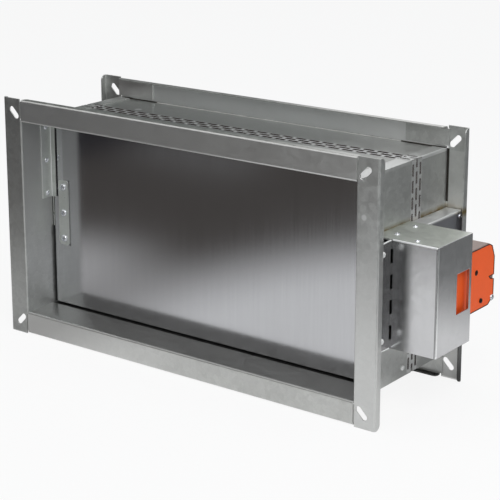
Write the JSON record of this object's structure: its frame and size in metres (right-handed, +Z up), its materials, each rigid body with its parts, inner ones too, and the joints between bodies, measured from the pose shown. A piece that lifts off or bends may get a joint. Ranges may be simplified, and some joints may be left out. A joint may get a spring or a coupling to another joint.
{
  "type": "fire damper",
  "caption": "Rectangular motor-driven fire damper: folded galvanised casing with two slotted duct flanges, a single insulated blade on side pivots, and a covered actuator on one side.",
  "frame": {"origin": "centre of the front duct opening, in the front flange's outer face", "axes": "+X across the duct towards the actuator side, +Y along the air path from the front flange to the rear flange, +Z up"},
  "size_m": [0.7342, 0.23, 0.37],
  "materials": {
    "casing_left": "hot-dip galvanised sheet, dull spangle",
    "casing_right": "hot-dip galvanised sheet, dull spangle",
    "casing_top": "hot-dip galvanised sheet, dull spangle",
    "casing_bottom": "hot-dip galvanised sheet, dull spangle",
    "stop_upper_left": "galvanised sheet",
    "stop_lower_left": "galvanised sheet",
    "stop_upper_right": "galvanised sheet",
    "stop_lower_right": "galvanised sheet",
    "stop_top": "galvanised sheet",
    "stop_bottom": "galvanised sheet",
    "stop_rivets": "zinc plated",
    "intumescent_strip_top": "dark brown swelling strip",
    "intumescent_strip_bottom": "dark brown swelling strip",
    "intumescent_strip_left": "dark brown swelling strip",
    "intumescent_strip_right": "dark brown swelling strip",
    "blade_core": "calcium silicate board",
    "blade_front_skin": "smooth galvanised facing, fine vertical grain",
    "blade_rear_skin": "smooth galvanised facing, fine vertical grain",
    "blade_edge_seal": "black rubber",
    "hinge_strap_left_front": "zinc plated strip",
    "hinge_strap_left_rear": "zinc plated strip",
    "hinge_strap_right_front": "zinc plated strip",
    "hinge_strap_right_rear": "zinc plated strip",
    "blade_bolts": "zinc plated",
    "blade_nuts": "zinc plated",
    "pivot_pin_left": "turned steel",
    "drive_shaft": "turned and milled steel",
    "bearing_left": "zinc plated plate",
    "bearing_right": "zinc plated plate",
    "bearing_clips": "spring steel",
    "console": "galvanised sheet",
    "console_rivets": "zinc plated",
    "cover_box": "galvanised sheet",
    "cover_top_plate": "galvanised sheet",
    "cover_bottom_plate": "galvanised sheet",
    "cover_rivets": "bright rivets",
    "cover_screws": "zinc plated",
    "drive_housing": "pale grey moulding",
    "drive_face_plate": "orange plate, no print",
    "drive_sleeve": "black moulding",
    "position_pointer": "black moulding",
    "cable_grommet": "black rubber",
    "drive_face_screws": "zinc plated",
    "drive_mounting_screws": "zinc plated",
    "thermal_fuse": "black moulding with a metal probe"
  },
  "bodies": {
    "casing": {"casing_left": "casing_left", "casing_right": "casing_right", "casing_top": "casing_top", "casing_bottom": "casing_bottom", "stop_upper_left": "stop_upper_left", "stop_lower_left": "stop_lower_left", "stop_upper_right": "stop_upper_right", "stop_lower_right": "stop_lower_right", "stop_top": "stop_top", "stop_bottom": "stop_bottom", "stop_rivets": "stop_rivets", "intumescent_strip_top": "intumescent_strip_top", "intumescent_strip_bottom": "intumescent_strip_bottom", "intumescent_strip_left": "intumescent_strip_left", "intumescent_strip_right": "intumescent_strip_right", "bearing_left": "bearing_left", "bearing_right": "bearing_right", "bearing_clips": "bearing_clips", "console": "console", "console_rivets": "console_rivets", "cover_box": "cover_box", "cover_top_plate": "cover_top_plate", "cover_bottom_plate": "cover_bottom_plate", "cover_rivets": "cover_rivets", "cover_screws": "cover_screws", "drive_housing": "drive_housing", "drive_face_plate": "drive_face_plate", "cable_grommet": "cable_grommet", "drive_face_screws": "drive_face_screws", "drive_mounting_screws": "drive_mounting_screws", "thermal_fuse": "thermal_fuse"},
    "blade": {"blade_core": "blade_core", "blade_front_skin": "blade_front_skin", "blade_rear_skin": "blade_rear_skin", "blade_edge_seal": "blade_edge_seal", "hinge_strap_left_front": "hinge_strap_left_front", "hinge_strap_left_rear": "hinge_strap_left_rear", "hinge_strap_right_front": "hinge_strap_right_front", "hinge_strap_right_rear": "hinge_strap_right_rear", "blade_bolts": "blade_bolts", "blade_nuts": "blade_nuts", "pivot_pin_left": "pivot_pin_left", "drive_shaft": "drive_shaft", "drive_sleeve": "drive_sleeve", "position_pointer": "position_pointer"}
  },
  "joints": [
    {"name": "blade_turn", "type": "hinge", "parent": "casing", "child": "blade", "pos_m": [0, 0.077, 0], "axis": [-1, 0, 0], "range_deg": [0, 90]}
  ]
}
